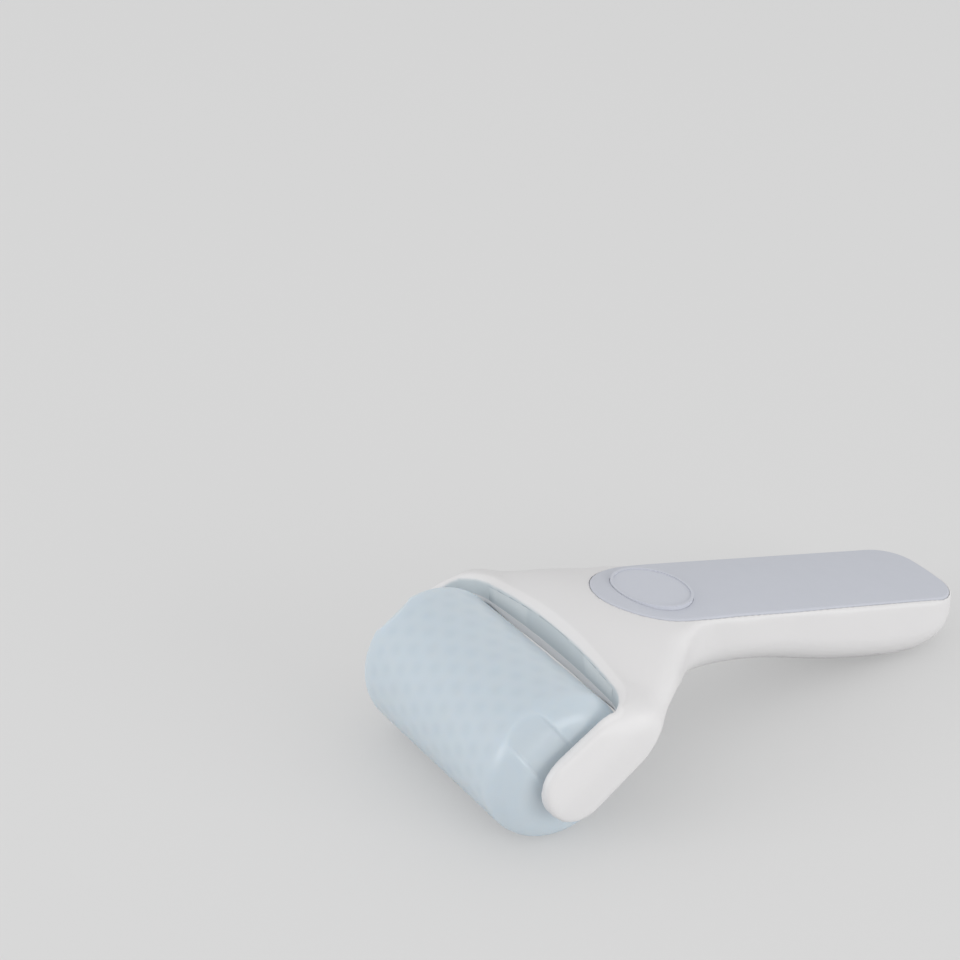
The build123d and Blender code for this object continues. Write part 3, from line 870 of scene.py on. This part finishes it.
def turned_drum():
    """The drum's section turned about the axle."""
    right_half = drum_profile()
    left_half = [(-along, radius) for along, radius in reversed(right_half)]
    shape = bmesh.new()
    line = [shape.verts.new((axle.x, along, axle.z + radius))
            for along, radius in right_half + [(0.0, drum_radius)] + left_half]
    edges = [shape.edges.new(pair) for pair in zip(line, line[1:])]
    bmesh.ops.spin(shape, geom=line + edges, cent=axle, axis=(0, 1, 0), dvec=(0, 0, 0),
                   angle=math.tau, steps=264, use_merge=True, use_duplicate=False)
    bmesh.ops.remove_doubles(shape, verts=shape.verts, dist=0.002 * mm)
    return shape


def split_ends(shape, across):
    """Splits the drum's ends along the channels' walls, so that these can be straight."""
    splits = 3
    offsets = [side * (channel_half - channel_wall * step / splits) for side in (-1, 1)
               for step in range(splits + 1)]
    for offset in offsets:
        ends = [face for face in shape.faces if abs(face.calc_center_median().y) > sleeve_half]
        geom = list({edge for face in ends for edge in face.edges}) + ends
        geom += list({vert for face in ends for vert in face.verts})
        bmesh.ops.bisect_plane(shape, geom=geom, dist=0.0001 * mm,
                               plane_co=axle + across * offset, plane_no=across)


def press_relief(shape, upward, across, look):
    """Sinks the spots and the channels into the drum, and marks the spots and the ends that take
    the painted light.
    """
    spot = shape.verts.layers.float.new("spot")
    end = shape.verts.layers.float.new("end")
    end_start = sleeve_half - 3 * mm
    for vert in shape.verts:
        radial = Vector((vert.co.x - axle.x, 0, vert.co.z - axle.z))
        out = abs(vert.co.y)
        # Marks the drum's ends for the painted light.
        vert[end] = soft_step(end_start, drum_half, out)
        if out <= sleeve_half:
            share = spot_depth_at(vert.co, look)
            vert[spot] = share
            vert.co -= radial.normalized() * look.spot_depth * share
            continue
        height, aside = radial.dot(upward), abs(radial.dot(across))
        if height > 0 and aside < channel_half:
            sunk = max(out - channel_floor(height), 0)
            share = soft_step(0, channel_wall, channel_half - aside)
            vert.co.y -= math.copysign(sunk * share, vert.co.y)


def plug_cutter():
    """The seat of the filling plug."""
    shape = bmesh.new()
    middle = (plug_low + plug_high) / 2
    radius = (plug_high.x - plug_low.x) / 2 + 0.1 * mm
    bmesh.ops.create_cone(shape, cap_ends=True, segments=48, radius1=radius, radius2=radius,
                          depth=plug_high.y - plug_low.y)
    lay_along_axle(shape, (middle.x, drum_half, middle.z))
    return shape


class ROLLER_OT_drum(bpy.types.Operator):
    """Turn the drum with its soft spots, rounded ends and lead-in channels"""

    bl_idname = "roller.drum"
    bl_label = "Drum"

    def execute(self, context):
        look = context.scene.roller_drum
        lean = Matrix.Rotation(channel_lean, 3, "Y")
        upward, across = lean @ Vector((0, 0, 1)), lean @ Vector((1, 0, 0))
        shape = turned_drum()
        split_ends(shape, across)
        press_relief(shape, upward, across, look)
        bmesh.ops.recalc_face_normals(shape, faces=shape.faces)
        drum = new_piece("drum_skin", shape, "drum",
                         ice_plastic(look.colour, look.spot_colour), crease=32)
        cut(drum, plug_cutter())
        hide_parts("drum_sleeve", "drum_cap_left", "drum_cap_right")
        return {"FINISHED"}


class ROLLER_OT_fittings(bpy.types.Operator):
    """Finish the pivots, washers, bushes, seals, plug and the hidden inner pieces"""

    bl_idname = "roller.fittings"
    bl_label = "Fittings"

    def execute(self, context):
        finishes = (
            (turned_steel(), ("pivot_left", "pivot_right", "panel_screws")),
            (plain_plastic("acetal", (0.78, 0.78, 0.75), 0.4),
             ("thrust_washer_left", "thrust_washer_right", "bush_left", "bush_right")),
            (plain_plastic("grey_plastic", (0.35, 0.36, 0.38), 0.5), ("panel_carrier",)),
            (plain_plastic("seal_rubber", (0.06, 0.065, 0.07), 0.6),
             ("cap_seal_left", "cap_seal_right", "plug_seal")),
            (plain_plastic("adhesive_sheet", (0.75, 0.75, 0.70), 0.7), ("panel_adhesive",)),
            (plain_plastic("cooling_gel", (0.45, 0.62, 0.75), 0.3), ("cooling_gel",)),
            (plain_plastic("plug_plastic", (0.50, 0.57, 0.62), 0.45), ("filler_plug",)),
        )
        for finish, names in finishes:
            for name in names:
                dress(name, finish)
        return {"FINISHED"}


# ---------------------------------------------------------------- stage
def floor_finish(colour):
    """Plain pale floor that shows a light shadow."""
    finish = Finish("floor", {"Specular IOR Level": 0.2})
    cloud = finish.noise(400 * mm)
    finish.feed("Base Color", finish.mottle(cloud, colour, 0.01))
    finish.feed("Roughness", finish.ramp(cloud, 0.0, 1.0, 0.75, 0.85))
    ray = finish.node("ShaderNodeLightPath", output="Is Camera Ray")
    glow = finish.node("ShaderNodeEmission", {}, {"Color": (*colour, 1), "Strength": 1.0})
    lit = Signal(finish, finish.shader.outputs["BSDF"])
    glow_share = 0.45
    both = finish.node("ShaderNodeMixShader", {}, {0: ray * glow_share, 1: lit, 2: glow})
    output = finish.tree.nodes["Material Output"]
    finish.tree.links.new(both.socket, output.inputs["Surface"])
    return finish.material


def direction(turn, lift):
    """Points outwards, turned from -Y towards +X and lifted from level."""
    return Vector((math.sin(turn) * math.cos(lift), -math.cos(turn) * math.cos(lift),
                   math.sin(lift)))


def soft_lamp(name, azimuth, elevation, distance, size, power):
    """Square soft lamp that faces the roller."""
    lamp = bpy.data.lights.new(name, "AREA")
    lamp.shape = "SQUARE"
    lamp.size = size
    lamp.energy = power
    made = bpy.data.objects.new(name, lamp)
    bpy.context.scene.collection.objects.link(made)
    outwards = direction(math.radians(azimuth), math.radians(elevation))
    made.location = outwards * distance
    made.rotation_euler = outwards.to_track_quat("Z", "Y").to_euler()


def even_light(strength):
    """White light of one strength from all sides."""
    world = bpy.data.worlds.new("even_light")
    world.use_nodes = True
    light = world.node_tree.nodes["Background"]
    light.inputs["Color"].default_value = (1, 1, 1, 1)
    light.inputs["Strength"].default_value = strength
    return world


def aimed_camera(look):
    """Camera that sees the drum's middle at a set place in its own frame."""
    back = direction(look.camera_azimuth, look.camera_elevation)
    level = Vector((math.cos(look.camera_azimuth), math.sin(look.camera_azimuth), 0))
    upright = back.cross(level)
    roll = look.camera_roll
    right = level * math.cos(roll) + upright * math.sin(roll)
    up = upright * math.cos(roll) - level * math.sin(roll)
    turning = Matrix((right, up, back)).transposed()
    drum_in_view = Vector((3.22, -67.42, -768.68)) * mm
    camera = bpy.data.cameras.new("camera")
    camera.lens = look.lens
    camera.sensor_width = 36
    eye = bpy.data.objects.new("camera", camera)
    bpy.context.scene.collection.objects.link(eye)
    eye.matrix_world = Matrix.Translation(axle - turning @ drum_in_view) @ turning.to_4x4()
    return eye


class ROLLER_OT_stage(bpy.types.Operator):
    """Set the floor, the lamps and the camera"""

    bl_idname = "roller.stage"
    bl_label = "Stage"

    def execute(self, context):
        look = context.scene.roller_stage
        plane = bmesh.new()
        bmesh.ops.create_circle(plane, cap_ends=True, segments=96, radius=3.0)
        floor = loose_object("floor", plane)
        floor.data.materials.append(floor_finish(look.floor_colour))
        context.scene.world = even_light(look.daylight)
        soft_lamp("front_lamp", azimuth=22, elevation=6, distance=2.4, size=1.8, power=35.5)
        soft_lamp("left_lamp", azimuth=-100, elevation=16, distance=2.4, size=1.2, power=15.0)
        context.scene.camera = aimed_camera(look)
        context.scene.view_settings.view_transform = "Standard"
        return {"FINISHED"}


class ROLLER_PT_sidebar(bpy.types.Panel):
    """Lists the roller's settings and steps"""

    bl_idname = "ROLLER_PT_sidebar"
    bl_label = "Cooling Face Roller"
    bl_space_type = "VIEW_3D"
    bl_region_type = "UI"
    bl_category = "Roller"

    def draw(self, context):
        for group, steps in layout_rows:
            box = self.layout.box()
            settings = getattr(context.scene, group)
            for name in settings.bl_rna.properties.keys():
                if name not in ("rna_type", "name"):
                    box.prop(settings, name)
            for step in steps:
                box.operator(step)


layout_rows = [
    ("roller_shell", ["roller.shell"]),
    ("roller_panel", ["roller.inlays"]),
    ("roller_drum", ["roller.drum", "roller.fittings"]),
    ("roller_stage", ["roller.stage"]),
]
setting_groups = {
    "roller_shell": RollerShellSettings,
    "roller_panel": RollerPanelSettings,
    "roller_drum": RollerDrumSettings,
    "roller_stage": RollerStageSettings,
}
operators = (ROLLER_OT_shell, ROLLER_OT_inlays, ROLLER_OT_drum, ROLLER_OT_fittings,
             ROLLER_OT_stage)


def register():
    for name, group in setting_groups.items():
        bpy.utils.register_class(group)
        setattr(bpy.types.Scene, name, PointerProperty(type=group))
    for operator in operators:
        bpy.utils.register_class(operator)
    bpy.utils.register_class(ROLLER_PT_sidebar)


def unregister():
    bpy.utils.unregister_class(ROLLER_PT_sidebar)
    for operator in reversed(operators):
        bpy.utils.unregister_class(operator)
    for name, group in setting_groups.items():
        delattr(bpy.types.Scene, name)
        bpy.utils.unregister_class(group)


def main():
    register()
    bpy.ops.roller.shell()
    bpy.ops.roller.inlays()
    bpy.ops.roller.drum()
    bpy.ops.roller.fittings()
    bpy.ops.roller.stage()


if __name__ == "__main__":
    main()
